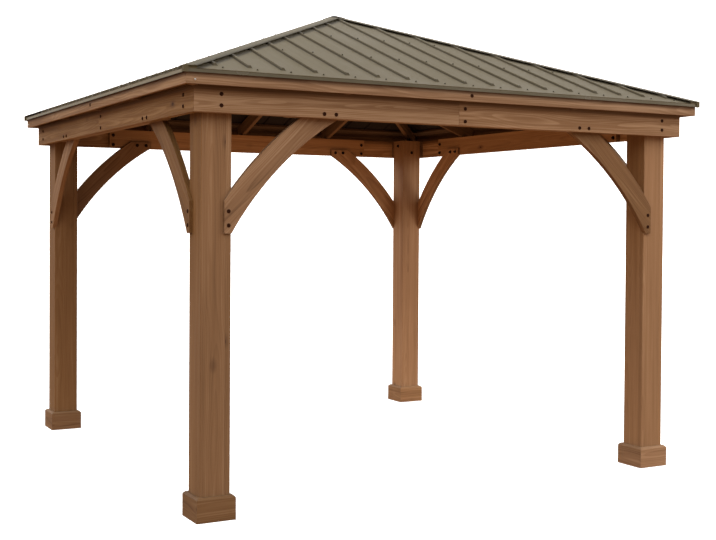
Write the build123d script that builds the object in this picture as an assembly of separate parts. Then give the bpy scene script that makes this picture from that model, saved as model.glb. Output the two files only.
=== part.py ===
from build123d import *
from math import atan, cos, degrees, pi, sin, sqrt, tan
import os

# A square garden gazebo: box posts on plinths, curved knee braces, beams and a hip roof of ribbed metal.
# The origin is on the ground under the peak. X runs along the front, the front faces -Y and Z is up.

# Posts and their bases
post_span = 3352.0            # outer face to outer face
post_side = 178.0
post_board = 33.0             # the four boards of a box post
post_seam = 0.8               # gap between two boards of a post
post_arris = 3.0              # bevel on a post's corners
base_height = 138.0
base_board = 26.0
base_bevel = 12.0
base_mitre = 0.6

# Beams
beam_bottom = 2242.0
beam_depth = 148.0
beam_board = 36.0
beam_splice = 1.5             # gap between the two boards of a side
beam_splice_offset = 45.0     # from a side's middle to where its two boards meet
beam_arris = 2.0
mitre_gap = 1.0
inner_board = 35.0            # the inner boards and the spacers
inner_board_setback = 312.0   # from a post's face to the end of the inner board
spacer_inset = 8.0            # how far a spacer block stays inside the post's face

# Knee braces
brace_board = 35.0
brace_housing = 17.0          # how far a foot is let into the post
brace_width = 134.0
brace_radius = 1888.0         # the lower edge
brace_drop = 656.0            # from the beam's bottom down to the cut foot
brace_reach = 656.0           # from the post's face out to the cut head
brace_lap = 47.0              # how far the foot reaches over the post
brace_toe = 4.0               # how far the lower edge starts over the post
brace_tuck = 3.0              # how far the lower edge ends behind the beam
brace_rise = 53.0             # how far the head goes up behind the beam
brace_arris = 2.0
brace_fit = 1.0               # room round the foot in its housing and the head in its notch

# Roof form
roof_rise = 689.0             # from the roof's edge to where the four slopes meet
eave_over = 15.0              # the roof's edge beyond the fascia's face
sheet = 3.0
hip_gap = 2.0                 # between two slopes' sheets, under the hip cap

# Ribs of the sheets
rib_pitch = 203.0
rib_height = 12.0
rib_base = 26.0
rib_top = 14.0
rib_start = 88.0              # flat margin below the ribs, up from the roof's edge
rib_corner = 150.0            # no rib is nearer to a corner than this
rib_end_taper = 14.0          # run of the sloped lower end of a rib

# Roof timbers
rafter_board = 32.0
rafter_depth = 95.0
rafter_spacing = 820.0
rafter_seat = 19.0            # depth of a rafter's seat at the beam's outer face
peak_block_width = 112.0
peak_block_drop = 40.0        # how far the block hangs below the rafters
batten = 20.0
batten_width = 90.0
batten_spacing = 548.0        # between rows, measured in plan
fascia_board = 22.0
fascia_out = 71.0             # fascia's face beyond the beam's face
fascia_drop = 6.0             # fascia's lower edge below the beam's top

# Roof trims
trim_sheet = 2.5
trim_inset = 2.0              # the sheets oversail the trim
trim_drop = 21.0              # how far the trim hangs below the roof's edge
trim_flange = 60.0            # lies on the lowest batten
cap = 3.0
cap_width = 75.0              # each leg of a hip cap, along the eave
cap_gap = 2.0
cap_lip = 24.0                # down from the roof's edge, over the corner of the trim
cap_lip_width = 28.0          # along the eave
peak_cap_side = 120.0

# Worked out from the driving dimensions
post_out = post_span / 2
post_in = post_out - post_side
post_mid = post_out - post_side / 2
beam_in = post_out + inner_board
beam_out = beam_in + beam_board
beam_top = beam_bottom + beam_depth
fascia_face = beam_out + fascia_out
fascia_back = fascia_face - fascia_board
fascia_bottom = beam_top - fascia_drop
roof_half = fascia_face + eave_over
roof_side = 2 * roof_half
pitch = atan(roof_rise / roof_half)
slope_length = roof_half / cos(pitch)
rafter_top_depth = sheet + batten
rafter_bottom_depth = rafter_top_depth + rafter_depth
seat_height = beam_top - rafter_seat
eave_height = seat_height + rafter_bottom_depth / cos(pitch) - (roof_half - beam_out) * tan(pitch)
peak_height = eave_height + roof_rise
peak_block_half = peak_block_width / 2
rib_pairs = int((roof_half - rib_corner) // rib_pitch)
rib_inner_height = rib_height - sheet
batten_rows = int(fascia_face // batten_spacing)
brace_foot = beam_bottom - brace_drop
brace_head = beam_bottom + brace_rise
brace_end = post_in - brace_reach

SIDES = {"front": 0, "right": 90, "back": 180, "left": 270}
CORNERS = {"front_left": 0, "front_right": 90, "back_right": 180, "back_left": 270}
LOW = (Align.MIN, Align.MIN, Align.MIN)
os.makedirs("parts", exist_ok=True)


def block(x0, x1, y0, y1, z0, z1):
    """A box given by its limits."""
    return Pos(x0, y0, z0) * Box(x1 - x0, y1 - y0, z1 - z0, align=LOW)


def prism(points, z0, z1):
    """An upright prism over an outline in plan."""
    return Pos(0, 0, z0) * extrude(make_face(Polyline(*points, close=True)), z1 - z0)


def turned(solid, angle):
    """The same piece on another side or corner."""
    return Rot(0, 0, angle) * solid


def save(name, *solids):
    export_step(solids[0] if len(solids) == 1 else Compound(list(solids)), f"parts/{name}.step")


def slope_frame(height=0):
    """The front slope's own frame: X along the eave, Y up the slope, Z out of it, from the sheets' top."""
    out = Vector(0, -sin(pitch), cos(pitch))
    return Plane(Vector(0, -roof_half, eave_height) + out * height, x_dir=(1, 0, 0), z_dir=out).location


def slope_slab(x0, x1, up0, up1, low, high):
    """A board or sheet that lies in the front slope, given by its limits there."""
    return slope_frame() * block(x0, x1, up0, up1, low, high)


def above_slope(height):
    """Everything above the front slope raised by a height, as a cutter."""
    return slope_frame(height) * block(-roof_side, roof_side, -roof_side, 2 * roof_side, 0, roof_side)


def hip_wedge(gap):
    """The front quarter of the plan between the two hips, short of them by half a gap."""
    low = -(roof_half + rib_height)
    reach = -low - gap / sqrt(2)
    return prism([(-reach, low), (reach, low), (0, -gap / sqrt(2))], 0, peak_height + roof_rise)


# Posts of four boards, each board covering one edge of the next
def post_boards():
    half = post_side / 2
    board = block(-half, half - post_board - post_seam, -half, -half + post_board, 0, beam_top)
    corner = board.edges().filter_by(Axis.Z).group_by(Axis.Y)[0].sort_by(Axis.X)[0]
    board = chamfer(corner, post_arris)
    return [turned(board, angle) for angle in SIDES.values()]


# Base of four mitred boards round a post's foot, with a bevelled top
def base_boards():
    inner = post_side / 2
    outer = inner + base_board
    cut = base_mitre / sqrt(2)
    outline = [(-outer + cut, -outer), (outer - cut, -outer), (inner - cut, -inner), (-inner + cut, -inner)]
    board = prism(outline, 0, base_height)
    top = board.edges().filter_by(Axis.X).group_by(Axis.Z)[-1].sort_by(Axis.Y)[0]
    board = chamfer(top, base_bevel)
    return [turned(board, angle) for angle in SIDES.values()]


# Curved brace on the front side at its left post: a ring cut square by the foot, the post lap and the head
def brace(room=0):
    ring = Circle(brace_radius + brace_width + room) - Circle(brace_radius - room)
    left, right = -(post_in + brace_lap) - room, -brace_end + room
    low, high = brace_foot - room, brace_head + room
    window = Pos(left, low) * Rectangle(right - left, high - low, align=(Align.MIN, Align.MIN))
    outline = (Location(arc_centre()) * ring) & window
    return Pos(0, brace_housing - post_out, 0) * extrude(Plane.XZ * outline, brace_board)


def arc_centre():
    """The centre of a brace's curve in the plane of the side, from the two ends of its lower edge."""
    foot = Vector(-post_in - brace_toe, brace_foot)
    head = Vector(-brace_end, beam_bottom + brace_tuck)
    chord = head - foot
    away = sqrt(brace_radius ** 2 - (chord.length / 2) ** 2)
    return foot + chord / 2 + Vector(chord.Y, -chord.X).normalized() * away


def eased(board):
    """A brace with its curved edges taken off."""
    return chamfer(board.edges().filter_by(GeomType.CIRCLE), brace_arris)


# Boards of the front left post, housed for the feet of the front brace and the left brace
def housed_post():
    front = brace(brace_fit)
    left = turned(mirror(front, Plane.YZ), SIDES["left"])
    return [Pos(-post_mid, -post_mid, 0) * board - front - left for board in post_boards()]


corner_post = housed_post()
corner_base = [Pos(-post_mid, -post_mid, 0) * board for board in base_boards()]
for corner, angle in CORNERS.items():
    save(f"post_{corner}", *[turned(board, angle) for board in corner_post])
    save(f"post_base_{corner}", *[turned(board, angle) for board in corner_base])
left_brace = eased(brace())
right_brace = mirror(left_brace, Plane.YZ)
for side, angle in SIDES.items():
    save(f"brace_{side}_left", turned(left_brace, angle))
    save(f"brace_{side}_right", turned(right_brace, angle))


# Outer beam of two boards that meet beside the middle, mitred at the corners
def beam_boards():
    right = beam_board_from(-beam_splice_offset + beam_splice / 2)
    left = beam_board_from(beam_splice_offset + beam_splice / 2)
    return [right, mirror(left, Plane.YZ)]


def beam_board_from(start):
    """A board of the front beam, from a place beside the middle to the right corner."""
    cut = mitre_gap / sqrt(2)
    outer, inner = beam_out - cut, beam_in - cut
    outline = [(start, -beam_out), (outer, -beam_out), (inner, -beam_in), (start, -beam_in)]
    board = prism(outline, beam_bottom, beam_top)
    lower = board.edges().filter_by(Axis.X).group_by(Axis.Z)[0]
    return chamfer(lower, beam_arris)


# Inner beam board between the posts, its inner face notched for the heads of the two braces
def inner_beam_board():
    half = post_in - inner_board_setback
    board = block(-half, half, -beam_in, -post_out, beam_bottom, beam_top)
    notch = brace(brace_fit)
    return board - notch - mirror(notch, Plane.YZ)


# Spacer block between a post's face and the beam
def spacers():
    left = block(-post_out + spacer_inset, -post_in - spacer_inset, -beam_in, -post_out,
                 beam_bottom + spacer_inset, beam_top)
    return [left, mirror(left, Plane.YZ)]


front_beam = beam_boards()
front_inner_board = inner_beam_board()
front_spacers = spacers()
for side, angle in SIDES.items():
    save(f"beam_{side}", *[turned(board, angle) for board in front_beam])
save("inner_beam_boards", *[turned(front_inner_board, angle) for angle in SIDES.values()])
save("beam_spacers", *[turned(spacer, angle) for angle in SIDES.values() for spacer in front_spacers])


# What rafters stay clear of: the beams below their top and, outside them, all that is below the fascia
def rafter_seat_cutter():
    inside = block(-beam_out, beam_out, -beam_out, beam_out, 0, peak_height)
    around = block(-roof_half, roof_half, -roof_half, roof_half, 0, fascia_bottom) - inside
    return around + block(-beam_out, beam_out, -beam_out, beam_out, 0, beam_top)


# Rafters of the front side, from the fascia to the peak block or to a hip rafter, seated on the beam
def rafters():
    under = -rafter_top_depth
    hip_face = rafter_board / sqrt(2)
    taken = rafter_seat_cutter()
    made = []
    for place in (-rafter_spacing, 0, rafter_spacing):
        board = slope_slab(place - rafter_board / 2, place + rafter_board / 2, -rafter_depth,
                           slope_length + rafter_depth, under - rafter_depth, under)
        board -= taken
        if place:
            reach = fascia_back - hip_face
            limit = prism([(-reach, -fascia_back), (reach, -fascia_back), (0, -hip_face)], 0, peak_height)
        else:
            limit = block(-rafter_board, rafter_board, -fascia_back, -peak_block_half, 0, peak_height)
        made.append(board & limit)
    return made


# Hip rafter at the front left corner, its top bevelled to both slopes
def hip_rafter():
    near, far = peak_block_half, sqrt(2) * fascia_back
    fall = tan(pitch) / sqrt(2)
    ridge = peak_height - rafter_top_depth / cos(pitch)
    near_top, far_top = ridge - near * fall, ridge - far * fall
    deep = rafter_depth / cos(pitch)
    outline = [(near, near_top), (far, far_top), (far, far_top - deep), (near, near_top - deep)]
    face = Plane.XZ * make_face(Polyline(*outline, close=True))
    board = extrude(face, rafter_board / 2, both=True)
    board = turned(board, degrees(5 * pi / 4))
    board &= block(-fascia_back, 0, -fascia_back, 0, 0, peak_height)
    front = above_slope(-rafter_top_depth)
    board -= front
    board -= turned(front, SIDES["left"])
    return board - rafter_seat_cutter()


# Eight-sided block that hips and middle rafters meet at
def peak_block():
    top = peak_height - rafter_top_depth / cos(pitch) - peak_block_half * tan(pitch)
    bottom = top - rafter_depth / cos(pitch) - peak_block_drop
    outline = RegularPolygon(peak_block_half, 8, major_radius=False, rotation=degrees(pi / 8))
    return Pos(0, 0, bottom) * extrude(outline, top - bottom)


front_rafters = rafters()
corner_hip_rafter = hip_rafter()
for side, angle in SIDES.items():
    save(f"rafters_{side}", *[turned(rafter, angle) for rafter in front_rafters])
save("hip_rafters", *[turned(corner_hip_rafter, angle) for angle in CORNERS.values()])
save("peak_block", peak_block())


# Fascia board across the rafters' ends, mitred at the corners, its top cut to the slope
def fascia():
    board = block(-fascia_face, fascia_face, -fascia_face, -fascia_back, fascia_bottom, peak_height)
    return (board - above_slope(-rafter_top_depth)) & hip_wedge(mitre_gap)


# Battens in rows up the front slope, mitred at the hips; the trim's flange lies on the lowest
def battens():
    first = (roof_half - fascia_face) / cos(pitch)
    step = batten_spacing / cos(pitch)
    rows = []
    for row in range(batten_rows):
        top = -sheet if row else -sheet - trim_sheet
        slab = slope_slab(-roof_half, roof_half, first + row * step, first + row * step + batten_width,
                          -rafter_top_depth, top)
        rows.append(slab & hip_wedge(mitre_gap))
    return rows


# Ribbed sheet of the front slope: ribs are folds, hollow below, with closed sloping lower ends
def roof_sheet():
    plate = slope_slab(-roof_half, roof_half, 0, slope_length, -sheet, 0)
    half_base, half_top = rib_base / 2, rib_top / 2
    for rib in range(-rib_pairs, rib_pairs + 1):
        middle = rib * rib_pitch
        top = slope_length - abs(middle) / cos(pitch)
        fold = rib_bar(middle, half_base, half_top, rib_start, top, 0, rib_height)
        hollow = rib_bar(middle, half_base - sheet, half_top - sheet, rib_start + sheet, top,
                         -sheet, rib_inner_height)
        plate += slope_frame() * fold
        plate -= slope_frame() * hollow
    return plate & hip_wedge(hip_gap)


def rib_bar(middle, half_base, half_top, start, top, low, high):
    """One rib along the slope, narrower at the top, its lower end sloped."""
    base = Pos(middle, start, low) * Rectangle(2 * half_base, top - start, align=(Align.CENTER, Align.MIN))
    crest = Pos(middle, start + rib_end_taper, high) * Rectangle(2 * half_top, top - start - rib_end_taper,
                                                                align=(Align.CENTER, Align.MIN))
    return loft([base, crest])


front_fascia = fascia()
front_battens = battens()
front_sheet = roof_sheet()
for side, angle in SIDES.items():
    save(f"fascia_{side}", turned(front_fascia, angle))
    save(f"roof_{side}", turned(front_sheet, angle))
save("battens", *[turned(row, angle) for angle in SIDES.values() for row in front_battens])


# Eave trim: a flange on the lowest batten, under the sheets, and a leg that hangs in front of the fascia
def eave_trim():
    under = -sheet - trim_sheet
    flange = slope_slab(-roof_half, roof_half, trim_inset / cos(pitch), trim_flange, under, -sheet)
    face = roof_half - trim_inset
    leg = block(-roof_half, roof_half, -face, -face + trim_sheet, eave_height - trim_drop, peak_height)
    leg -= above_slope(-sheet)
    return (flange + leg) & hip_wedge(mitre_gap)


# Hip cap at the front left: two legs that lie on the ribs, meet over the hip and turn down at the eave
def hip_cap():
    top = slope_length + rib_height
    edge = roof_half + cap_gap + cap
    slab = slope_slab(-edge, edge, -cap_width, top, rib_height, rib_height + cap)
    corner, near = -edge, -cap_gap
    outline = [(corner, corner), (corner + cap_width, corner), (near, near - cap_width), (near, near)]
    leg = slab & prism(outline, 0, peak_height + roof_rise)
    lip_end, lip_back = corner + cap_lip_width, corner + cap
    lip_outline = [(corner, corner), (lip_end, corner), (lip_end, lip_back), (lip_back, lip_back)]
    leg += prism(lip_outline, eave_height - cap_lip, peak_height) - above_slope(rib_height)
    return leg + mirror(leg, Plane((0, 0, 0), x_dir=(1, 1, 0), z_dir=(1, -1, 0)))


# Peak cap: a small four-sided cap over the ends of the hip caps
def peak_cap():
    half = peak_cap_side / 2
    under = rib_height + cap
    crown = block(-half, half, -half, half, eave_height, peak_height + roof_rise)
    hollow = crown
    for angle in SIDES.values():
        crown -= turned(above_slope(under + cap), angle)
        hollow -= turned(above_slope(under), angle)
    return crown - hollow


front_trim = eave_trim()
corner_cap = hip_cap()
save("eave_trim", *[turned(front_trim, angle) for angle in SIDES.values()])
for corner, angle in CORNERS.items():
    save(f"hip_cap_{corner}", turned(corner_cap, angle))
save("peak_cap", peak_cap())
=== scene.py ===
import math

import bpy
from mathutils import Matrix, Vector


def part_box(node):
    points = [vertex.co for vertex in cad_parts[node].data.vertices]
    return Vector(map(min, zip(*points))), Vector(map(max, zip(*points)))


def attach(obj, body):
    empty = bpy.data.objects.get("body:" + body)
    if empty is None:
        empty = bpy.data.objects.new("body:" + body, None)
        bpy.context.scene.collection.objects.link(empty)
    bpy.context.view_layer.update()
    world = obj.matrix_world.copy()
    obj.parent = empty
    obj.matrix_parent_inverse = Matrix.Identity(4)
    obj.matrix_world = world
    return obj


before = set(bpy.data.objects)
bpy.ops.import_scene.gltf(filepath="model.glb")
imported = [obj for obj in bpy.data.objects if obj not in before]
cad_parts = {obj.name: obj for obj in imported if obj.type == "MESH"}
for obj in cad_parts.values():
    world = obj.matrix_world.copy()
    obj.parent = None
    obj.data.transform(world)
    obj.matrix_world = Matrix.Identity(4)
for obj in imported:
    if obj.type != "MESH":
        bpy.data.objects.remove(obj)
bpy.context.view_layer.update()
scene = bpy.context.scene

# Camera, from the photograph's perspective
IMAGE_WIDTH, IMAGE_HEIGHT = 716, 540
SENSOR_WIDTH = 36.0
FOCAL_PX = 1166.6
AXIS_ROW_PX = 240.15
EYE = Vector((-3.970, -7.674, 1.669))
EYE_YAW, EYE_PITCH, EYE_ROLL = 0.4993, -0.0178, 0.0066

# Sides and corners, as turns of the front side and of the front left corner
SIDES = {"front": 0, "right": 90, "back": 180, "left": 270}
CORNERS = ("front_left", "front_right", "back_right", "back_left")

# Places taken from the frame
post_low, post_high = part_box("post_front_left")
beam_low, beam_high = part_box("beam_front")
brace_low, brace_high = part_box("brace_front_left")
fascia_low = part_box("fascia_front")[0]
roof_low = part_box("roof_front")[0]
trim_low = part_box("eave_trim")[0]
POST_OUT, POST_IN = -post_low.x, -post_high.x
POST_MID = (POST_OUT + POST_IN) / 2
BEAM_OUT, BEAM_BOTTOM, BEAM_TOP = -beam_low.y, beam_low.z, beam_high.z
BRACE_OUT, BRACE_IN = -brace_low.y, -brace_high.y
BRACE_START, BRACE_END, BRACE_FOOT = -brace_low.x, -brace_high.x, brace_low.z
FASCIA_OUT, FASCIA_BOTTOM = -fascia_low.y, fascia_low.z
ROOF_HALF = -roof_low.y
TRIM_BOTTOM = trim_low.z

# The front slope's plane, from the largest flat of its sheet that faces up
LOOKS_UP = 0.5
roof_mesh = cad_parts["roof_front"].data
slope_faces = [face for face in roof_mesh.polygons if face.normal.z > LOOKS_UP]
slope_face = max(slope_faces, key=lambda face: face.area)
SLOPE_POINT, SLOPE_NORMAL = slope_face.center.copy(), slope_face.normal.copy()
PITCH = math.acos(SLOPE_NORMAL.z)
HIP_PITCH = math.atan(math.tan(PITCH) / math.sqrt(2))
PEAK = SLOPE_POINT.z + SLOPE_POINT.y * SLOPE_NORMAL.y / SLOPE_NORMAL.z

# Sizes and places of the fasteners, in metres
BOLT_HEAD = 0.023
BOLT_RISE = 0.005
NUT_FLAT = 0.017
NUT_WASHER = 0.027
SCREW_HEAD = 0.012
BEAM_BOLT_TOP = 0.045         # below the beam's top
BEAM_BOLT_LOW = 0.041         # above the beam's bottom, at the posts
SPLICE_BOLT_LOW = 0.026       # above the beam's bottom, at its middle joint
BRACE_BOLT_UP = 0.025         # above the beam's bottom, at a brace's head
BRACE_BOLT_INSET = 0.042      # from the end of a brace's head
BRACE_BOLT_STEP = 0.076
FOOT_BOLT_INSET = 0.025       # from the foot's outer edge
FOOT_BOLT_UP = (0.045, 0.123)
INNER_BOARD_SETBACK = 0.312   # from a post's face to the end of the inner beam board
INNER_BOLT_INSET = 0.029
FASCIA_BOLT_UP = 0.034        # above the fascia's bottom
FASCIA_SCREW_UP = 0.022
FASCIA_SCREW_INSET = 0.052    # from the fascia's corner
RIB_PITCH = 0.203
RIB_PAIRS = 8                 # ribs on each side of a slope's middle rib
RIB_FOOT = 0.013              # from a rib's middle to its foot
RIB_START = 0.088             # from the roof's edge to the ribs' lower ends, along the slope
RIB_HEIGHT = 0.012
EAVE_SCREW_UP = 0.042         # from the roof's edge, in plan
EAVE_SCREW_BESIDE = 0.026     # from a rib's middle, along the eave
SCREW_ROWS = (1.29, 0.742)    # from the middle of the roof, in plan
HIP_CLEAR = 0.09              # no rib screw is nearer to a hip than this, in plan

# Hip caps and their folded ends
CAP_LEG = 0.072               # along the eave from the roof's corner to a cap's edge
HEM_SHADE_START = 0.036             # across the cap, from the hip
FOLD_END = 0.014              # along the eave from the roof's corner to a fold's end
FOLD_SHEET = 0.0008
FOLD_FOOT = 0.008
FOLD_INSET = 0.002            # from the roof's edge

# Colours of the finishes
WOOD_DARK = (0.080, 0.040, 0.018)
WOOD_MID = (0.172, 0.094, 0.048)
WOOD_LIGHT = (0.270, 0.168, 0.098)
WOOD_KNOT = (0.050, 0.024, 0.012)
# painted shadow, along the tops of boards below the piece above
WOOD_PAINTED_SHADOW = (0.030, 0.012, 0.004)
ROOF_PAINT = (0.087, 0.070, 0.041)
ROOF_DUST = (0.114, 0.096, 0.063)
# dirt, and painted shade along the ribs, beside the caps and on the hems
ROOF_DIRT_AND_SHADE = (0.024, 0.019, 0.012)
# the sheets' back, made darker as painted shade
ROOF_UNDER_SHADED = (0.020, 0.015, 0.015)
CAP_PAINT = (0.066, 0.054, 0.030)
TRIM_PAINT = (0.055, 0.044, 0.020)
# painted reflection: a lighter paint for trim faces that look left, for the bright sky they reflect
TRIM_PAINTED_REFLECTION = (0.150, 0.117, 0.055)
PEAK_PAINT = (0.012, 0.011, 0.007)
BOLT_BLACK, BOLT_WORN = (0.020, 0.006, 0.002), (0.034, 0.012, 0.005)
NUT_DARK, NUT_WORN = (0.020, 0.008, 0.003), (0.036, 0.016, 0.008)
SCREW_PAINT, SCREW_WORN = (0.040, 0.032, 0.022), (0.028, 0.023, 0.016)
ZINC, ZINC_WORN = (0.55, 0.54, 0.52), (0.35, 0.34, 0.32)

# Where the sheets and their ribs start, in the slopes' own frames
SLOPE_LENGTH = ROOF_HALF / math.cos(PITCH)
SHEET_UP = PEAK * math.sin(PITCH) - SLOPE_LENGTH
RIBS_UP = SHEET_UP + RIB_START

# Figure of the wood: noise scales along, across and through a board, and limits of the noise that show
BOARD_SHIFT = (37.0, 11.0, 23.0)        # how far the figure moves from one board to another
BOARD_LEVELS = (0.90, 1.10)             # lightness of the darkest and of the lightest board
PITH_BESIDE, PITH_ASIDE = (0.045, 0.085), (-0.035, 0.035)
PITH_STEP = 7.3                         # draws the pith's second place from the board's value
SWAY_SCALE, SWAY_GAIN = (0.75, 2.5, 2.5), 4
NOISE_MIDDLE = (0.5, 0.5, 0.5)
FIBRE_SCALE = (5.0, 420.0, 420.0)
STREAK_SCALE = (0.9, 32.0, 32.0)
CLOUD_SCALE = (1.3, 4.0, 4.0)
RING_DARKENS, RING_CLEARS = (0.25, 0.90), (0.92, 1.0)
STREAK_RANGE, FIBRE_RANGE = (0.30, 0.72), (0.2, 0.8)
STREAK_SHARE, FIBRE_SHARE, CLOUD_SHARE = 0.52, 0.30, 0.40
MIDDLE_SHADE = 0.5
DARK_TO_MID, MID_TO_LIGHT = (0.0, 0.55), (0.50, 1.0)
KNOT_SCALE = (3.2, 6.0, 6.0)
KNOT_CHANCE = 0.80                      # a cell whose value is above this holds a knot
KNOT_EDGE, HALO_EDGE, HALO_SHARE = (0.045, 0.085), (0.06, 0.20), 0.45
WOOD_ROUGHNESS, WOOD_GLOSS = (0.62, 0.80), 0.2
FIBRE_RELIEF, RING_RELIEF = 0.6, 0.35
WOOD_RELIEF, WOOD_RELIEF_STRENGTH = 0.0006, 0.6

# Painted shadows along the tops of boards, below the piece above that shades them
SHADOW_REACH = 0.006           # how far the piece above reaches down over the board, seen from the ground
SHADOW_FADE = 0.026
SHADOW_SHARE = 0.62

# Faces that look inwards, and where from left to right they start to be lighter: painted light on the shaded
# inner faces, more of it towards the right
LOOKS_IN = (-0.65, -0.55)
INNER_LIGHT_FROM_LEFT = (-POST_IN, -POST_IN / 3)

# Painted light and shade on a piece's front and left faces, at the lower and at the upper of two heights:
# lighter high up on the front, darker high up on the left
LOOKS_FRONT = LOOKS_LEFT = (-0.8, -0.6)
PAINTED_LIGHT_HEIGHTS = (1.0, 2.0)
PAINTED_LIGHT_FRONT, PAINTED_SHADE_LEFT = (0.0, 0.16), (-0.04, -0.20)
PAINTED_SHADE_WARMTH = -1.1          # saturation for each part of lightness that is lost on the left

# Finish of the sheets: noise scales up, along and through a slope, limits that show and shares
RUN_SCALE, WAVE_SCALE = (0.7, 22.0, 22.0), (2.2, 5.0, 5.0)
DUST_SCALE, SPECK_SCALE = 1.6, 900.0
RUN_SHARE, DUST_SHARE = 0.6, 0.7
EAVE_TO_PEAK_LIGHTENING = (-0.16, 0.10)    # added at the eave and at the peak: the sheet is darker towards the eave, lighter towards the peak
DUST_RANGE, DUST_MOST = (0.50, 0.95), 0.65
METAL_RANGE, METAL_ROUGHNESS = (0.3, 0.7), (0.66, 0.80)
SPECK_RELIEF = 0.012
METAL_RELIEF, METAL_RELIEF_STRENGTH = 0.004, 0.5
# faces that look left take a lighter paint, a painted reflection
TRIM_LOOKS_LEFT, TRIM_REFLECTION_SHARE = (-0.9, -0.6), 0.8
LOOKS_DOWN = -0.2
LIP_UP = 0.004                # a sheet's lower edge, which isn't part of its underside

# Dark marks on the sheets, as shares and as places from the ribs, the ribs' lower ends, the caps and the
# hems:
# lines along the ribs and at their lower ends are partly dirt and partly painted shade, the bands beside the
# caps and on the hems are painted shadow
RIB_LINE, RIB_LINE_SHARE = (0.001, 0.006), 0.75
RIB_LINE_START = (-0.002, 0.004)
RIB_END, RIB_END_SHARE = (0.008, 0.030), 0.6
RIB_END_EDGE = 0.004
CAP_SHADOW, CAP_SHADOW_SHARE = (0.018, 0.060), 0.85
CAP_SHADOW_START = 0.012
HEM_SHADE_EDGE, HEM_SHADE_SHARE = 0.004, 0.55

# Finish of the fasteners
WEAR_SCALE, WEAR_RANGE, WEAR_ROUGHNESS = 160.0, (0.50, 0.75), 0.2
FASTENER_GLOSS = 0.06
FASTENER_RELIEF, FASTENER_RELIEF_STRENGTH = 0.0003, 0.4


# Node tree helpers
class Tree:
    """A node tree that is filled by calls, each of which returns an output socket."""

    def __init__(self, tree):
        self.tree = tree

    def node(self, kind, settings=None, **inputs):
        made = self.tree.nodes.new(kind)
        for name, value in (settings or {}).items():
            setattr(made, name, value)
        for name, value in inputs.items():
            self.set(made, name.replace("_", " "), value)
        return made

    def set(self, node, socket, value):
        target = node.inputs[int(socket)] if socket.isdigit() else node.inputs[socket]
        if isinstance(value, bpy.types.NodeSocket):
            self.tree.links.new(value, target)
        else:
            target.default_value = value

    def math(self, operation, first, second=None, clamp=False):
        made = self.node("ShaderNodeMath", {"operation": operation, "use_clamp": clamp})
        self.set(made, "0", first)
        if second is not None:
            self.set(made, "1", second)
        return made.outputs[0]

    def vector(self, operation, first, second=None):
        made = self.node("ShaderNodeVectorMath", {"operation": operation})
        self.set(made, "0", first)
        if second is not None:
            self.set(made, "Scale" if operation == "SCALE" else "1", second)
        return made.outputs["Value" if operation in ("LENGTH", "DOT_PRODUCT") else "Vector"]

    def split(self, vector):
        return self.node("ShaderNodeSeparateXYZ", Vector=vector).outputs

    def join(self, x, y, z):
        return self.node("ShaderNodeCombineXYZ", X=x, Y=y, Z=z).outputs[0]

    def noise(self, vector, scale, detail=2.0, roughness=0.5):
        made = self.node("ShaderNodeTexNoise", Vector=vector, Scale=scale, Detail=detail, Roughness=roughness)
        return made.outputs

    def attribute(self, name, output):
        return self.node("ShaderNodeAttribute", {"attribute_name": name}).outputs[output]

    def position(self):
        return self.node("ShaderNodeTexCoord").outputs["Object"]

    def normal(self):
        return self.node("ShaderNodeNewGeometry").outputs["Normal"]

    def stretched(self, vector, scales, detail, roughness=0.5):
        return self.noise(self.vector("MULTIPLY", vector, scales), 1.0, detail, roughness)

    def spread(self, value, low, high, to_low=0.0, to_high=1.0, kind="SMOOTHSTEP"):
        made = self.node("ShaderNodeMapRange", {"interpolation_type": kind}, Value=value)
        for socket, number in zip(("From Min", "From Max", "To Min", "To Max"), (low, high, to_low, to_high)):
            made.inputs[socket].default_value = number
        return made.outputs[0]

    def mix(self, share, first, second):
        made = self.node("ShaderNodeMix", {"data_type": "RGBA"})
        for socket, value in ((0, share), (6, first), (7, second)):
            if isinstance(value, tuple):
                value = (*value, 1.0)
            self.set(made, str(socket), value)
        return made.outputs[2]


def new_material(name):
    """An empty material with its tree, its shader and the shader's surface linked."""
    material = bpy.data.materials.new(name)
    material.use_nodes = True
    material.node_tree.nodes.clear()
    tree = Tree(material.node_tree)
    shader = tree.node("ShaderNodeBsdfPrincipled")
    output = tree.node("ShaderNodeOutputMaterial")
    tree.tree.links.new(shader.outputs[0], output.inputs["Surface"])
    return material, tree, shader


def bump(tree, shader, height, distance, strength):
    made = tree.node("ShaderNodeBump", Height=height, Distance=distance, Strength=strength)
    tree.set(shader, "Normal", made.outputs[0])
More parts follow.
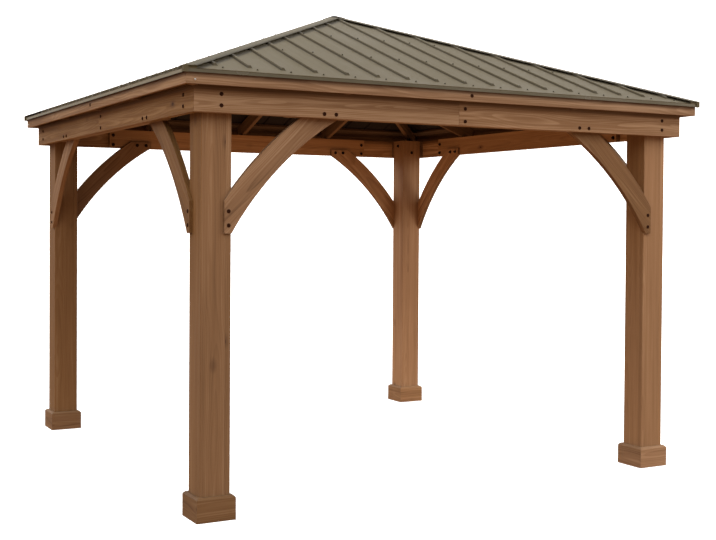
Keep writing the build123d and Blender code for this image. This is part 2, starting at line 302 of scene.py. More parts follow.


# Stained cedar: growth rings round a pith beside the board, fibres, streaks and a few knots.
# Below the given height, a painted shadow runs along the top of a board where the piece above shades it.
# Faces that look inwards are lighter by the factor inside, and by less near the left posts: painted light on
# shaded inner faces. A piece given a share of painted light and shade is lighter high up on its front, and
# darker and warmer there on its left.
def wood(name, tone, contrast=0.75, lines=-0.26, warmth=1.0, ring=0.0085, wander=0.030, shadow_below=None,
         inside=1.0, painted_light=0.0):
    material, tree, shader = new_material(name)
    grain, board = tree.attribute("grain", "Vector"), tree.attribute("board", "Fac")
    place = tree.vector("ADD", grain, tree.vector("SCALE", BOARD_SHIFT, board))
    late = growth_rings(tree, grain, place, board, ring, wander)

    # Fibres, streaks and cloudy stain
    fibre = tree.stretched(place, FIBRE_SCALE, detail=3.0, roughness=0.6)["Fac"]
    streak = tree.stretched(place, STREAK_SCALE, detail=4.0, roughness=0.6)["Fac"]
    cloud = tree.stretched(place, CLOUD_SCALE, detail=3.0)["Fac"]
    pale = tree.math("MULTIPLY", tree.spread(streak, *STREAK_RANGE), STREAK_SHARE)
    shade = tree.math("ADD", pale, tree.math("MULTIPLY", fibre, FIBRE_SHARE))
    shade = tree.math("ADD", shade, tree.math("MULTIPLY", cloud, CLOUD_SHARE))
    shade = tree.math("ADD", shade, tree.math("MULTIPLY", late, lines))
    shade = tree.math("MULTIPLY", tree.math("SUBTRACT", shade, MIDDLE_SHADE), contrast)
    shade = tree.math("ADD", shade, MIDDLE_SHADE, True)

    colour = tree.mix(tree.spread(shade, *DARK_TO_MID), WOOD_DARK, WOOD_MID)
    colour = tree.mix(tree.spread(shade, *MID_TO_LIGHT), colour, WOOD_LIGHT)
    colour = tree.mix(knots(tree, place), colour, WOOD_KNOT)
    # painted shadow along the board's top, below the given height
    if shadow_below:
        height = tree.split(tree.position())[2]
        shadowed = tree.spread(height, shadow_below - SHADOW_FADE, shadow_below, 0.0, SHADOW_SHARE)
        colour = tree.mix(shadowed, colour, WOOD_PAINTED_SHADOW)
    level = tree.math("MULTIPLY", tree.spread(board, 0.0, 1.0, *BOARD_LEVELS, "LINEAR"), tone)
    # painted light: faces that look inwards are lighter, more so away from the left posts
    if inside != 1.0:
        spot = tree.position()
        outwards = tree.vector("NORMALIZE", tree.vector("MULTIPLY", spot, (1.0, 1.0, 0.0)))
        facing_in = tree.spread(tree.vector("DOT_PRODUCT", tree.normal(), outwards), *LOOKS_IN, 1.0, 0.0)
        gain = tree.spread(tree.split(spot)[0], *INNER_LIGHT_FROM_LEFT, 0.0, inside - 1)
        level = tree.math("MULTIPLY", level, tree.math("ADD", tree.math("MULTIPLY", facing_in, gain), 1.0))
    # painted light and shade: lighter high up on the front, darker and warmer high up on the left
    if painted_light:
        facing_left, facing_front, _ = tree.split(tree.normal())
        height = tree.split(tree.position())[2]
        front = tree.math("MULTIPLY", tree.spread(facing_front, *LOOKS_FRONT, 1.0, 0.0),
                          tree.spread(height, *PAINTED_LIGHT_HEIGHTS, *PAINTED_LIGHT_FRONT))
        left = tree.math("MULTIPLY", tree.spread(facing_left, *LOOKS_LEFT, 1.0, 0.0),
                         tree.spread(height, *PAINTED_LIGHT_HEIGHTS, *PAINTED_SHADE_LEFT))
        gain = tree.math("MULTIPLY", tree.math("ADD", front, left), painted_light)
        level = tree.math("MULTIPLY", level, tree.math("ADD", gain, 1.0))
        warmth = tree.math("ADD", tree.math("MULTIPLY", left, PAINTED_SHADE_WARMTH * painted_light), warmth)
    tint = tree.node("ShaderNodeHueSaturation", Saturation=warmth, Value=level, Color=colour).outputs[0]
    tree.set(shader, "Base Color", tint)
    tree.set(shader, "Roughness", tree.spread(fibre, *FIBRE_RANGE, *WOOD_ROUGHNESS, "LINEAR"))
    shader.inputs["Specular IOR Level"].default_value = WOOD_GLOSS
    relief = tree.math("SUBTRACT", tree.math("MULTIPLY", fibre, FIBRE_RELIEF),
                       tree.math("MULTIPLY", late, RING_RELIEF))
    bump(tree, shader, relief, WOOD_RELIEF, WOOD_RELIEF_STRENGTH)
    return material


def growth_rings(tree, grain, place, board, ring, wander):
    """How dark the late wood is. The pith wanders along the board, so the rings show as long arches."""
    slow = tree.stretched(place, SWAY_SCALE, detail=2.0)["Color"]
    sway = tree.vector("SCALE", tree.vector("SUBTRACT", slow, NOISE_MIDDLE), wander * SWAY_GAIN)
    _, y, z = tree.split(tree.vector("ADD", grain, sway))
    pith_y = tree.spread(board, 0.0, 1.0, *PITH_BESIDE, "LINEAR")
    second = tree.math("FRACT", tree.math("MULTIPLY", board, PITH_STEP))
    pith_z = tree.spread(second, 0.0, 1.0, *PITH_ASIDE, "LINEAR")
    radius = tree.vector("LENGTH", tree.join(0.0, tree.math("ADD", y, pith_y), tree.math("ADD", z, pith_z)))
    phase = tree.math("FRACT", tree.math("DIVIDE", radius, ring))
    return tree.math("MULTIPLY", tree.spread(phase, *RING_DARKENS),
                     tree.spread(phase, *RING_CLEARS, 1.0, 0.0))


def knots(tree, place):
    """Where knots and their halos show: the odd cell of a cell pattern holds one."""
    stretched = tree.vector("MULTIPLY", place, KNOT_SCALE)
    cells = tree.node("ShaderNodeTexVoronoi", Vector=stretched, Scale=1.0).outputs
    held = tree.math("GREATER_THAN", tree.split(cells["Color"])[0], KNOT_CHANCE)
    knot = tree.math("MULTIPLY", tree.spread(cells["Distance"], *KNOT_EDGE, 1.0, 0.0), held)
    halo = tree.math("MULTIPLY", tree.spread(cells["Distance"], *HALO_EDGE, HALO_SHARE, 0.0), held)
    return tree.math("MAXIMUM", knot, halo)


# Painted metal: dust, streaks down the slope and fine paint texture, darker towards the eave and lighter
# towards the peak. A ribbed sheet has dark lines along its ribs, partly dirt and partly painted shade, and a
# painted shadow beside the caps; a cap has painted shade on its hems. Faces that look left can have a lighter
# paint of their own, a painted reflection, and faces that look down take a dark underside colour, made darker
# as painted shade.
def painted_sheet(name, paint, gloss, ribs=False, shaded_hems=False, left=None):
    material, tree, shader = new_material(name)
    grain = tree.attribute("grain", "Vector")
    up, along, _ = tree.split(grain)
    runs = tree.stretched(grain, RUN_SCALE, detail=4.0, roughness=0.6)["Fac"]
    cloud = tree.noise(grain, DUST_SCALE, detail=4.0, roughness=0.6)["Fac"]
    speck = tree.noise(grain, SPECK_SCALE, detail=1.0)["Fac"]
    dust_and_gradient = tree.math("ADD", tree.math("MULTIPLY", runs, RUN_SHARE), tree.math("MULTIPLY", cloud, DUST_SHARE))
    # darker towards the eave, lighter towards the peak
    dust_and_gradient = tree.math("ADD", dust_and_gradient, tree.spread(up, SHEET_UP, SHEET_UP + SLOPE_LENGTH, *EAVE_TO_PEAK_LIGHTENING, "LINEAR"))
    colour = tree.mix(tree.spread(dust_and_gradient, *DUST_RANGE, 0.0, DUST_MOST), paint, ROOF_DUST)
    # dark lines along the ribs, partly dirt and partly painted shade, and a painted shadow beside the caps
    if ribs:
        colour = tree.mix(sheet_dirt(tree, up, along), colour, ROOF_DIRT_AND_SHADE)
    # painted shade along the edges of a cap, standing in for the shade of a hem
    if shaded_hems:
        hem_shade = tree.spread(tree.math("ABSOLUTE", along), HEM_SHADE_START, HEM_SHADE_START + HEM_SHADE_EDGE, 0.0, HEM_SHADE_SHARE)
        colour = tree.mix(hem_shade, colour, ROOF_DIRT_AND_SHADE)
    facing_left, _, facing_up = tree.split(tree.normal())
    # painted reflection: faces that look left take a lighter paint
    if left:
        colour = tree.mix(tree.spread(facing_left, *TRIM_LOOKS_LEFT, TRIM_REFLECTION_SHARE, 0.0), colour, left)
    # faces that look down take the underside colour: the sheet's back, made darker as painted shade
    below = tree.math("LESS_THAN", facing_up, LOOKS_DOWN)
    if ribs:
        below = tree.math("MULTIPLY", below, tree.math("GREATER_THAN", up, SHEET_UP + LIP_UP))
    tree.set(shader, "Base Color", tree.mix(below, colour, ROOF_UNDER_SHADED))
    smooth, rough = METAL_ROUGHNESS
    tree.set(shader, "Roughness", tree.spread(cloud, *METAL_RANGE, smooth - gloss, rough - gloss, "LINEAR"))
    shader.inputs["Specular IOR Level"].default_value = gloss
    waves = tree.stretched(grain, WAVE_SCALE, detail=1.0)["Fac"]
    relief = tree.math("ADD", waves, tree.math("MULTIPLY", speck, SPECK_RELIEF))
    bump(tree, shader, relief, METAL_RELIEF, METAL_RELIEF_STRENGTH)
    return material


def sheet_dirt(tree, up, along):
    """Dark marks along the feet of the ribs and at their lower ends, partly dirt and partly painted shade,
    and a painted shadow beside the hip caps.
    """
    turn = tree.math("FRACT", tree.math("ADD", tree.math("DIVIDE", along, RIB_PITCH), 0.5))
    from_rib = tree.math("MULTIPLY", tree.math("ABSOLUTE", tree.math("SUBTRACT", turn, 0.5)), RIB_PITCH)
    from_foot = tree.math("ABSOLUTE", tree.math("SUBTRACT", from_rib, RIB_FOOT))
    line = tree.math("MULTIPLY", tree.spread(from_foot, *RIB_LINE, RIB_LINE_SHARE, 0.0),
                     tree.spread(up, *(RIBS_UP + place for place in RIB_LINE_START)))
    end = tree.math("MULTIPLY", tree.spread(up, *(RIBS_UP + place for place in RIB_END), RIB_END_SHARE, 0.0),
                    tree.spread(from_rib, RIB_FOOT, RIB_FOOT + RIB_END_EDGE, 1.0, 0.0))
    end = tree.math("MULTIPLY", end, tree.spread(up, RIBS_UP - RIB_END_EDGE, RIBS_UP))
    # painted shadow beside the hip caps
    from_middle = tree.spread(up, SHEET_UP, SHEET_UP + SLOPE_LENGTH, ROOF_HALF, 0.0, "LINEAR")
    from_hip = tree.math("SUBTRACT", from_middle, tree.math("ABSOLUTE", along))
    cap_edge = tree.spread(from_hip, CAP_LEG - CAP_SHADOW_START, CAP_LEG, 0.0, CAP_SHADOW_SHARE)
    beside_cap = tree.math("MULTIPLY", cap_edge,
                           tree.spread(from_hip, *(CAP_LEG + place for place in CAP_SHADOW), 1.0, 0.0))
    return tree.math("MAXIMUM", tree.math("MAXIMUM", line, end), beside_cap)


# Metal of a fastener, worn to another shade in patches
def fastener_metal(name, colour, worn, metallic, roughness):
    material, tree, shader = new_material(name)
    patch = tree.noise(tree.position(), WEAR_SCALE, detail=3.0, roughness=0.6)["Fac"]
    tree.set(shader, "Base Color", tree.mix(tree.spread(patch, *WEAR_RANGE), colour, worn))
    worn_roughness = tree.spread(patch, *METAL_RANGE, roughness, roughness + WEAR_ROUGHNESS, "LINEAR")
    tree.set(shader, "Roughness", worn_roughness)
    shader.inputs["Metallic"].default_value = metallic
    shader.inputs["Specular IOR Level"].default_value = FASTENER_GLOSS
    bump(tree, shader, patch, FASTENER_RELIEF, FASTENER_RELIEF_STRENGTH)
    return material


# Geometry nodes that give each solid of a node a grain frame and a random value of its own
WELD = 0.00002
CREASE = math.radians(30)


def grain_group():
    group = bpy.data.node_groups.new("grain_frame", "GeometryNodeTree")
    group.interface.new_socket("Geometry", in_out="INPUT", socket_type="NodeSocketGeometry")
    for name, kind in (("Centre", "Vector"), ("Own", "Float"), ("Snap", "Float"), ("Turn", "Float"),
                       ("Tilt", "Float"), ("Seed", "Int")):
        group.interface.new_socket(name, in_out="INPUT", socket_type=f"NodeSocket{kind}")
    group.interface.new_socket("Geometry", in_out="OUTPUT", socket_type="NodeSocketGeometry")
    tree = Tree(group)
    given = tree.node("NodeGroupInput").outputs
    merged = tree.node("GeometryNodeMergeByDistance", Geometry=given["Geometry"], Distance=WELD)
    plain = tree.node("GeometryNodeRemoveAttribute", Geometry=merged.outputs[0], Name="custom_normal")
    smooth = tree.node("GeometryNodeSetShadeSmooth", {"domain": "FACE"}, Geometry=plain.outputs[0])
    angle = tree.node("GeometryNodeInputMeshEdgeAngle").outputs["Unsigned Angle"]
    sharp = tree.node("GeometryNodeSetShadeSmooth", {"domain": "EDGE"}, Geometry=smooth.outputs[0],
                      Selection=tree.math("GREATER_THAN", angle, CREASE), Shade_Smooth=False)

    island = tree.node("GeometryNodeInputMeshIsland").outputs["Island Index"]
    position = tree.node("GeometryNodeInputPosition").outputs[0]
    total = tree.node("GeometryNodeAccumulateField", {"data_type": "FLOAT_VECTOR"}, Value=position,
                      Group_ID=island)
    count = tree.node("GeometryNodeAccumulateField", {"data_type": "FLOAT"}, Value=1.0, Group_ID=island)
    share = tree.math("DIVIDE", 1.0, count.outputs["Total"])
    middle = tree.vector("SCALE", total.outputs["Total"], share)
    local = tree.vector("SUBTRACT", position, tree.vector("SCALE", middle, given["Own"]))
    x, y, _ = tree.split(tree.vector("SUBTRACT", middle, given["Centre"]))
    bearing = tree.math("DIVIDE", tree.math("ARCTAN2", y, x), given["Snap"])
    bearing = tree.math("MULTIPLY", tree.math("ROUND", bearing), given["Snap"])
    back = tree.math("MULTIPLY", tree.math("ADD", bearing, given["Turn"]), -1.0)
    level = tree.node("ShaderNodeVectorRotate", {"rotation_type": "Z_AXIS"}, Vector=local, Angle=back)
    grain = tree.node("ShaderNodeVectorRotate", {"rotation_type": "Y_AXIS"}, Vector=level.outputs[0],
                      Angle=given["Tilt"])
    chance = tree.node("FunctionNodeRandomValue", {"data_type": "FLOAT"}, ID=island, Seed=given["Seed"])

    stored = tree.node("GeometryNodeStoreNamedAttribute", {"data_type": "FLOAT_VECTOR", "domain": "POINT"},
                       Geometry=sharp.outputs[0], Name="grain", Value=grain.outputs[0])
    stored = tree.node("GeometryNodeStoreNamedAttribute", {"data_type": "FLOAT", "domain": "POINT"},
                       Geometry=stored.outputs[0], Name="board", Value=chance.outputs[1])
    tree.node("NodeGroupOutput", Geometry=stored.outputs[0])
    return group


GRAIN_GROUP = grain_group()
ALONG_SIDE, TO_MIDDLE = math.radians(90), math.radians(180)
UPRIGHT = math.radians(90)
QUARTER, EIGHTH = math.radians(90), math.radians(45)
dressed = []


def dress(name, material, turn=ALONG_SIDE, tilt=0.0, snap=QUARTER, own=1.0, about_itself=False):
    """Gives a CAD node its grain frame and its finish."""
    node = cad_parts[name]
    low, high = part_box(name)
    centre = (low + high) / 2 if about_itself else Vector((0, 0, 0))
    modifier = node.modifiers.new("grain_frame", "NODES")
    modifier.node_group = GRAIN_GROUP
    dressed.append(name)
    values = {"Centre": centre, "Own": own, "Snap": snap, "Turn": turn, "Tilt": tilt, "Seed": len(dressed)}
    for item in GRAIN_GROUP.interface.items_tree:
        if item.in_out == "INPUT" and item.name in values:
            modifier[item.identifier] = values[item.name]
    node.data.materials.clear()
    node.data.materials.append(material)


# Finishes of the CAD nodes: lightness, saturation and how much lighter faces are that look inwards. The
# lightness and warmth per corner, per side and per brace are partly the wood's own tone and partly painted
# light and shade: darker where a piece is shaded, lighter where light reaches it. The lighter inward faces
# are painted light.
POST_TONE_AND_LIGHT = dict(zip(CORNERS, (0.84, 1.19, 1.78, 0.76)))
POST_WARMTH = dict(zip(CORNERS, (1.08, 1.06, 1.04, 1.16)))
# share of painted light and shade by height on each post's front and left faces
POST_PAINTED_LIGHT = dict(zip(CORNERS, (1.0, 0.4, 0.0, 0.0)))
BASE_TONE_AND_LIGHT = dict(zip(CORNERS, (0.67, 1.12, 1.30, 0.82)))
BASE_WARMTH = dict(zip(CORNERS, (1.14, 1.02, 1.08, 1.08)))
BEAM_TONE_AND_LIGHT = dict(zip(SIDES, (0.92, 0.92, 0.92, 0.69)))
BEAM_WARMTH = dict(zip(SIDES, (1.07, 1.07, 1.07, 1.30)))
FASCIA_TONES = dict(zip(SIDES, (0.81, 0.81, 0.81, 0.82)))
FASCIA_WARMTH = dict(zip(SIDES, (1.04, 1.04, 1.04, 1.16)))
BRACE_TONE, BRACE_TONE_AND_LIGHT = 0.96, {"brace_front_right": 0.75, "brace_left_right": 0.69}
BRACE_WARMTH = 1.04
BRACE_WARMTHS = {"brace_front_right": 1.14, "brace_left_right": 1.24, "brace_left_left": 1.10}
BRACE_INNER_LIGHT, BRACES_INNER_LIGHT = 1.6, {"brace_back_left": 2.2, "brace_right_right": 2.7}
BEAM_INNER_LIGHT = INNER_BOARDS_INNER_LIGHT = 2.2
SHEET_GLOSS, TRIM_GLOSS = 0.06, 0.50
frame_wood = wood("roof_frame_wood", tone=0.85)
inner_wood = wood("inner_beam_wood", tone=0.95, contrast=0.7, lines=-0.20, warmth=1.06, inside=INNER_BOARDS_INNER_LIGHT)
# the battens: the frame's wood made darker, as painted shade under the roof
shaded_batten_wood = wood("shaded_batten_wood", tone=0.50)
roof_metal = painted_sheet("roof_metal", ROOF_PAINT, SHEET_GLOSS, ribs=True)
cap_metal = painted_sheet("cap_metal", CAP_PAINT, SHEET_GLOSS, shaded_hems=True)
fold_metal = painted_sheet("fold_metal", TRIM_PAINT, SHEET_GLOSS)
trim_metal = painted_sheet("trim_metal", TRIM_PAINT, TRIM_GLOSS, left=TRIM_PAINTED_REFLECTION)
peak_metal = painted_sheet("peak_metal", PEAK_PAINT, SHEET_GLOSS)
for corner in CORNERS:
    post_wood = wood(f"post_wood_{corner}", POST_TONE_AND_LIGHT[corner], contrast=0.6, lines=-0.20,
                     warmth=POST_WARMTH[corner], painted_light=POST_PAINTED_LIGHT[corner])
    base_wood = wood(f"base_wood_{corner}", BASE_TONE_AND_LIGHT[corner], warmth=BASE_WARMTH[corner])
    dress(f"post_{corner}", post_wood, tilt=UPRIGHT, about_itself=True)
    dress(f"post_base_{corner}", base_wood, about_itself=True)
    dress(f"hip_cap_{corner}", cap_metal, TO_MIDDLE, HIP_PITCH, EIGHTH)
for side in SIDES:
    # a beam has a painted shadow along its top below the fascia, and a fascia has one below the trim
    beam_wood = wood(f"beam_wood_{side}", BEAM_TONE_AND_LIGHT[side], contrast=1.0, lines=0.22,
                     warmth=BEAM_WARMTH[side], ring=0.009, wander=0.036,
                     shadow_below=FASCIA_BOTTOM - SHADOW_REACH, inside=BEAM_INNER_LIGHT)
    fascia_wood = wood(f"fascia_wood_{side}", FASCIA_TONES[side], contrast=1.1, lines=0.20,
                       warmth=FASCIA_WARMTH[side], shadow_below=TRIM_BOTTOM - SHADOW_REACH)
    dress(f"beam_{side}", beam_wood)
    dress(f"fascia_{side}", fascia_wood)
    dress(f"rafters_{side}", frame_wood, TO_MIDDLE, PITCH)
    dress(f"roof_{side}", roof_metal, TO_MIDDLE, PITCH, own=0.0)
    for name, tilt in ((f"brace_{side}_left", EIGHTH), (f"brace_{side}_right", QUARTER + EIGHTH)):
        brace_wood = wood(f"{name}_wood", BRACE_TONE_AND_LIGHT.get(name, BRACE_TONE),
                          warmth=BRACE_WARMTHS.get(name, BRACE_WARMTH),
                          inside=BRACES_INNER_LIGHT.get(name, BRACE_INNER_LIGHT))
        dress(name, brace_wood, tilt=tilt)
dress("inner_beam_boards", inner_wood)
dress("beam_spacers", frame_wood)
dress("battens", shaded_batten_wood)
dress("hip_rafters", frame_wood, TO_MIDDLE, HIP_PITCH, EIGHTH)
dress("peak_block", frame_wood, tilt=UPRIGHT)
dress("eave_trim", trim_metal)
dress("peak_cap", peak_metal, TO_MIDDLE, PITCH)


# Fasteners: turned profiles, whose rings are round or six-sided
HEAD_SEGMENTS = 24
HALF_FLAT = math.pi / 6
HEAD_CREASE = math.radians(35)

# Rows of a profile: shares of the radius and of the height, and whether the ring is six-sided
BOLT_ROWS = ((0.98, 0.0, False), (1.0, 0.12, False), (0.97, 0.38, False), (0.82, 0.72, False),
             (0.62, 0.94, False), (0.50, 1.0, False), (0.34, 0.97, True), (0.31, 0.25, True))
WASHER_ROWS = ((0.98, 0.0, False), (1.0, 0.05, False), (1.0, 0.14, False), (0.97, 0.18, False))
NUT_ROWS = ((0.98, 0.19, True), (1.0, 0.25, True), (1.0, 0.85, True), (0.93, 0.95, False),
            (0.60, 0.95, False), (0.58, 1.25, False), (0.50, 1.32, False))
ROOFING_SCREW_ROWS = ((1.0, 0.0, False), (1.0, 0.16, False), (0.90, 0.30, False), (0.82, 0.34, False),
                      (0.78, 0.48, False), (0.56, 0.52, True), (0.55, 1.05, True), (0.42, 1.20, False))


def ring_radius(radius, angle, six_sided):
    """A round ring's radius, or that of a six-sided ring of the same half width across the flats."""
    if not six_sided:
        return radius
    return radius / math.cos((angle + HALF_FLAT) % (2 * HALF_FLAT) - HALF_FLAT)


def turned(profile):
    """Points and faces of a turned shape: rows of radius, height and whether the ring is six-sided."""
    points, faces = [], []
    for radius, height, six_sided in profile:
        for step in range(HEAD_SEGMENTS):
            angle = 2 * math.pi * step / HEAD_SEGMENTS
            reach = ring_radius(radius, angle, six_sided)
            points.append(Vector((reach * math.cos(angle), reach * math.sin(angle), height)))
    for row in range(len(profile) - 1):
        for step in range(HEAD_SEGMENTS):
            near, far = row * HEAD_SEGMENTS, (row + 1) * HEAD_SEGMENTS
            after = (step + 1) % HEAD_SEGMENTS
            faces.append((near + step, near + after, far + after, far + step))
    faces.append(tuple(reversed(range(HEAD_SEGMENTS))))
    last = (len(profile) - 1) * HEAD_SEGMENTS
    faces.append(tuple(last + step for step in range(HEAD_SEGMENTS)))
    return points, faces


def scaled(rows, radius, height):
    return [(part * radius, up * height, six_sided) for part, up, six_sided in rows]


def bolt_head(width, rise):
    """A low domed head with a six-sided socket."""
    return turned(scaled(BOLT_ROWS, width / 2, rise))


def nut(flat, washer):
    """A washer, a nut and the end of its bolt."""
    return turned(scaled(WASHER_ROWS, washer / 2, washer / 2) + scaled(NUT_ROWS, flat / 2, washer / 2))


def roofing_screw(width):
    """A bonded washer with a flanged six-sided head on it."""
    return turned(scaled(ROOFING_SCREW_ROWS, width / 2, width / 2))


def scatter(name, shape, places, material):
    """One piece made of copies of a shape, each at a point with its axis along a direction."""
    points, faces = shape
    all_points, all_faces = [], []
    for place, axis in places:
        seat = Matrix.Translation(place) @ axis.to_track_quat("Z", "Y").to_matrix().to_4x4()
        first = len(all_points)
        all_points += [seat @ point for point in points]
        all_faces += [tuple(first + corner for corner in face) for face in faces]
    mesh = bpy.data.meshes.new(name)
    mesh.from_pydata(all_points, [], all_faces)
    mesh.shade_smooth()
    mesh.set_sharp_from_angle(angle=HEAD_CREASE)
    mesh.materials.append(material)
    piece = bpy.data.objects.new(name, mesh)
    scene.collection.objects.link(piece)
    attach(piece, "root")


def on_sides(places, axis):
    """The same places on all four sides, given on the front one."""
    turns = [Matrix.Rotation(math.radians(angle), 3, "Z") for angle in SIDES.values()]
    return [(turn @ Vector(place), turn @ axis) for turn in turns for place in places]


def on_slope(along, plan):
    """A point of the front slope's sheet, from the side's middle and from the roof's middle in plan."""
    fall = (along * SLOPE_NORMAL.x - (plan + SLOPE_POINT.y) * SLOPE_NORMAL.y) / SLOPE_NORMAL.z
    return Vector((along, -plan, SLOPE_POINT.z - fall))


OUT, IN = Vector((0, -1, 0)), Vector((0, 1, 0))
BOTH = (-1, 1)
bolt_black = fastener_metal("bolt_black", BOLT_BLACK, BOLT_WORN, metallic=0.0, roughness=0.75)
nut_dark = fastener_metal("nut_dark", NUT_DARK, NUT_WORN, metallic=0.0, roughness=0.60)
screw_paint = fastener_metal("screw_paint", SCREW_PAINT, SCREW_WORN, metallic=0.0, roughness=0.55)
screw_zinc = fastener_metal("screw_zinc", ZINC, ZINC_WORN, metallic=0.9, roughness=0.30)

# Bolts through the beams at the posts, the brace heads and the splice
beam_places = []
for sign in BOTH:
    for z in (BEAM_TOP - BEAM_BOLT_TOP, BEAM_BOTTOM + BEAM_BOLT_LOW):
        beam_places.append((sign * POST_MID, -BEAM_OUT, z))
    for step in range(2):
        along = BRACE_END + BRACE_BOLT_INSET + step * BRACE_BOLT_STEP
        beam_places.append((sign * along, -BEAM_OUT, BEAM_BOTTOM + BRACE_BOLT_UP))
for z in (BEAM_TOP - BEAM_BOLT_TOP, BEAM_BOTTOM + SPLICE_BOLT_LOW):
    beam_places.append((0, -BEAM_OUT, z))
scatter("beam_bolts", bolt_head(BOLT_HEAD, BOLT_RISE), on_sides(beam_places, OUT), bolt_black)

# Bolts at the feet of the braces
foot_places = [(sign * (BRACE_START - FOOT_BOLT_INSET), -BRACE_OUT, BRACE_FOOT + up)
               for sign in BOTH for up in FOOT_BOLT_UP]
scatter("brace_foot_bolts", bolt_head(BOLT_HEAD, BOLT_RISE), on_sides(foot_places, OUT), bolt_black)

# Nuts inside: on the brace heads, at the ends of the inner boards and on the posts
nut_places = []
for sign in BOTH:
    for step in range(2):
        along = BRACE_END + BRACE_BOLT_INSET + step * BRACE_BOLT_STEP
        nut_places.append((sign * along, -BRACE_IN, BEAM_BOTTOM + BRACE_BOLT_UP))
    for z in (BEAM_TOP - BEAM_BOLT_TOP, BEAM_BOTTOM + SPLICE_BOLT_LOW):
        nut_places.append((sign * (POST_IN - INNER_BOARD_SETBACK - INNER_BOLT_INSET), -POST_OUT, z))
nut_places.append((-POST_MID, -POST_IN, BEAM_BOTTOM + BEAM_BOLT_LOW))
nut_places.append((POST_MID, -POST_IN, BEAM_TOP - BEAM_BOLT_TOP))
scatter("inside_nuts", nut(NUT_FLAT, NUT_WASHER), on_sides(nut_places, IN), nut_dark)

# Fascia bolt in the middle of each side, and a bright screw near each corner
fascia_places = [(0, -FASCIA_OUT, FASCIA_BOTTOM + FASCIA_BOLT_UP)]
scatter("fascia_bolts", bolt_head(BOLT_HEAD, BOLT_RISE), on_sides(fascia_places, OUT), bolt_black)
corner_places = [(-FASCIA_OUT + FASCIA_SCREW_INSET, -FASCIA_OUT, FASCIA_BOTTOM + FASCIA_SCREW_UP)]
scatter("fascia_corner_screws", bolt_head(SCREW_HEAD, BOLT_RISE), on_sides(corner_places, OUT), screw_zinc)

# Roofing screws: one beside each rib's lower end, and rows on the ribs over the battens
sheet_places, rib_places = [], []
for rib in range(-RIB_PAIRS, RIB_PAIRS + 1):
    along = rib * RIB_PITCH
    sheet_places.append(on_slope(along + EAVE_SCREW_BESIDE, ROOF_HALF - EAVE_SCREW_UP))
    for plan in SCREW_ROWS:
        if abs(along) < plan - HIP_CLEAR:
            rib_places.append(on_slope(along, plan) + SLOPE_NORMAL * RIB_HEIGHT)
scatter("roof_screws", roofing_screw(SCREW_HEAD), on_sides(sheet_places + rib_places, SLOPE_NORMAL),
        screw_paint)


# Folded ends of the hip caps: angles that close the gap between cap and sheet at the eave
def cap_folds():
    rise = RIB_HEIGHT / SLOPE_NORMAL.z
    outline = [(0.0, rise), (0.0, 0.0), (FOLD_FOOT, 0.0), (FOLD_FOOT, FOLD_SHEET), (FOLD_SHEET, FOLD_SHEET),
               (FOLD_SHEET, rise)]
    points, faces = [], []
    for angle in SIDES.values():
        turn = Matrix.Rotation(math.radians(angle), 3, "Z")
        for sign in BOTH:
            first = len(points)
            for along in (ROOF_HALF - CAP_LEG, ROOF_HALF - FOLD_END):
                for depth, height in outline:
                    seat = on_slope(sign * along, ROOF_HALF - FOLD_INSET - depth)
                    points.append(turn @ (seat + Vector((0, 0, height))))
            count = len(outline)
            near, far = range(first, first + count), range(first + count, first + 2 * count)
            strip = [(near[k], near[(k + 1) % count], far[(k + 1) % count], far[k]) for k in range(count)]
            strip += [tuple(reversed(near)), tuple(far)]
            faces += [face if sign < 0 else tuple(reversed(face)) for face in strip]
    mesh = bpy.data.meshes.new("hip_cap_folds")
    mesh.from_pydata(points, [], faces)
    grain = mesh.attributes.new("grain", "FLOAT_VECTOR", "POINT")
    for value, point in zip(grain.data, points):
        value.vector = point
    mesh.materials.append(fold_metal)
    piece = bpy.data.objects.new("hip_cap_folds", mesh)
    scene.collection.objects.link(piece)
    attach(piece, "root")


cap_folds()

# Floor: a wide pale sheet that doesn't throw light back at the object
FLOOR_HALF = 60.0
FLOOR_STEPS = 12
FLOOR_WHITE, FLOOR_PATCH = (0.86, 0.86, 0.85), (0.84, 0.84, 0.83)
FLOOR_PATCH_SCALE = 0.8
FLOOR_ROUGHNESS = 0.9
FLOOR_GLOW = 0.62
WHITE_GLOW = (1, 1, 1, 1)


def floor():
    count = FLOOR_STEPS + 1
    ticks = [FLOOR_HALF * (2 * step / FLOOR_STEPS - 1) for step in range(count)]
    points = [(x, y, 0.0) for y in ticks for x in ticks]
    faces = [(row * count + col, row * count + col + 1, (row + 1) * count + col + 1, (row + 1) * count + col)
             for row in range(FLOOR_STEPS) for col in range(FLOOR_STEPS)]
    mesh = bpy.data.meshes.new("floor")
    mesh.from_pydata(points, [], faces)
    material, tree, shader = new_material("floor_white")
    patch = tree.noise(tree.position(), FLOOR_PATCH_SCALE)["Fac"]
    tree.set(shader, "Base Color", tree.mix(patch, FLOOR_WHITE, FLOOR_PATCH))
    shader.inputs["Roughness"].default_value = FLOOR_ROUGHNESS
    shader.inputs["Specular IOR Level"].default_value = 0.0
    shader.inputs["Emission Color"].default_value = WHITE_GLOW
    shader.inputs["Emission Strength"].default_value = FLOOR_GLOW
    mesh.materials.append(material)
    made = bpy.data.objects.new("floor", mesh)
    scene.collection.objects.link(made)
    made.visible_diffuse = False
    made.visible_glossy = False


# Backdrop: a white wall all round, that only the camera sees
WALL_AWAY, WALL_HEIGHT = 50.0, 45.0
WALL_SEGMENTS, WALL_ROWS = 64, 6
WALL_PATCH_SCALE = 0.1
WALL_GLOW = (1.02, 1.06)


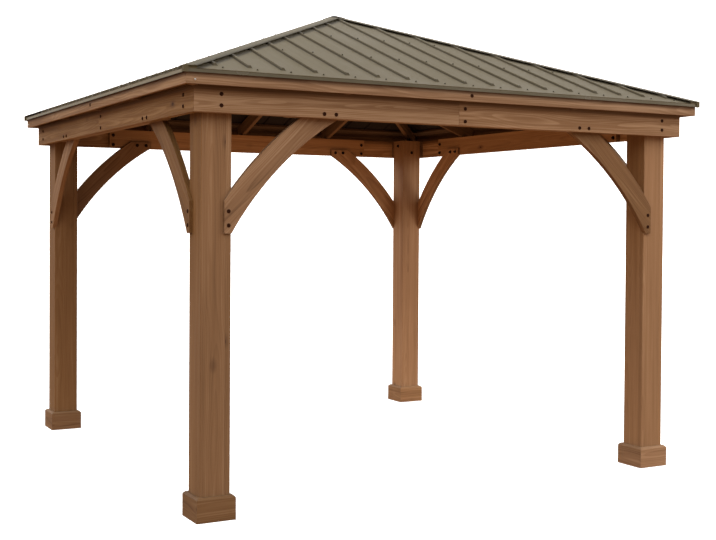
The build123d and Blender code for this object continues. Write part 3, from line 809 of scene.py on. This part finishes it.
def backdrop():
    points, faces = [], []
    for row in range(WALL_ROWS + 1):
        for step in range(WALL_SEGMENTS):
            angle = 2 * math.pi * step / WALL_SEGMENTS
            height = WALL_HEIGHT * row / WALL_ROWS
            points.append((WALL_AWAY * math.cos(angle), WALL_AWAY * math.sin(angle), height))
    for row in range(WALL_ROWS):
        for step in range(WALL_SEGMENTS):
            near, far, after = row * WALL_SEGMENTS, (row + 1) * WALL_SEGMENTS, (step + 1) % WALL_SEGMENTS
            faces.append((near + step, far + step, far + after, near + after))
    mesh = bpy.data.meshes.new("backdrop")
    mesh.from_pydata(points, [], faces)
    material, tree, shader = new_material("backdrop_white")
    patch = tree.noise(tree.position(), WALL_PATCH_SCALE)["Fac"]
    tree.set(shader, "Emission Strength", tree.spread(patch, 0.0, 1.0, *WALL_GLOW, "LINEAR"))
    shader.inputs["Emission Color"].default_value = WHITE_GLOW
    mesh.materials.append(material)
    made = bpy.data.objects.new("backdrop", mesh)
    scene.collection.objects.link(made)
    made.visible_diffuse = False
    made.visible_glossy = False
    made.visible_shadow = False


# Light: a white dome, brightest part of the way up, a warm glow from the ground, and a large soft light at
# the front right. Heights on the dome are parts of its radius.
SKY_WHITE, SKY_LOW = (1.0, 1.0, 1.0), (0.66, 0.36, 0.18)
SKY_HORIZON, SKY_BAND, SKY_TOP = 0.45, 2.85, 0.30
GROUND_EDGE, BAND_START, BAND_END = (-0.08, -0.03), (0.12, 0.30), (0.72, 0.92)
KEY_PLACE, KEY_AIM = Vector((8.5, -7.5, 3.0)), Vector((0, 0, 1.3))
KEY_SIZE, KEY_POWER = 5.0, 240.0


def light():
    world = bpy.data.worlds.new("dome")
    world.use_nodes = True
    world.node_tree.nodes.clear()
    tree = Tree(world.node_tree)
    height = tree.split(tree.node("ShaderNodeTexCoord").outputs["Generated"])[2]
    level = tree.math("MULTIPLY", tree.spread(height, *BAND_START, SKY_HORIZON, SKY_BAND),
                      tree.spread(height, *BAND_END, 1.0, SKY_TOP))
    colour = tree.mix(tree.spread(height, *GROUND_EDGE), SKY_LOW, tree.vector("SCALE", SKY_WHITE, level))
    glow = tree.node("ShaderNodeBackground", Color=colour, Strength=1.0)
    output = tree.node("ShaderNodeOutputWorld")
    tree.tree.links.new(glow.outputs[0], output.inputs["Surface"])
    scene.world = world
    lamp = bpy.data.lights.new("key", "AREA")
    lamp.shape = "DISK"
    lamp.size = KEY_SIZE
    lamp.energy = KEY_POWER
    made = bpy.data.objects.new("key", lamp)
    made.location = KEY_PLACE
    made.rotation_euler = (KEY_AIM - KEY_PLACE).to_track_quat("-Z", "Y").to_euler()
    made.visible_glossy = False
    scene.collection.objects.link(made)


# Camera at the photograph's viewpoint
def camera():
    forward = Vector((math.sin(EYE_YAW) * math.cos(EYE_PITCH), math.cos(EYE_YAW) * math.cos(EYE_PITCH),
                      math.sin(EYE_PITCH)))
    level = Vector((math.cos(EYE_YAW), -math.sin(EYE_YAW), 0))
    upright = level.cross(forward)
    right = level * math.cos(EYE_ROLL) + upright * math.sin(EYE_ROLL)
    up = upright * math.cos(EYE_ROLL) - level * math.sin(EYE_ROLL)
    lens = bpy.data.cameras.new("camera")
    lens.sensor_fit = "HORIZONTAL"
    lens.sensor_width = SENSOR_WIDTH
    lens.lens = FOCAL_PX * SENSOR_WIDTH / IMAGE_WIDTH
    lens.shift_y = (AXIS_ROW_PX - IMAGE_HEIGHT / 2) / IMAGE_WIDTH
    made = bpy.data.objects.new("camera", lens)
    made.matrix_world = Matrix.Translation(EYE) @ Matrix((right, up, -forward)).transposed().to_4x4()
    scene.collection.objects.link(made)
    scene.camera = made


floor()
backdrop()
light()
camera()
scene.view_settings.view_transform = "Standard"
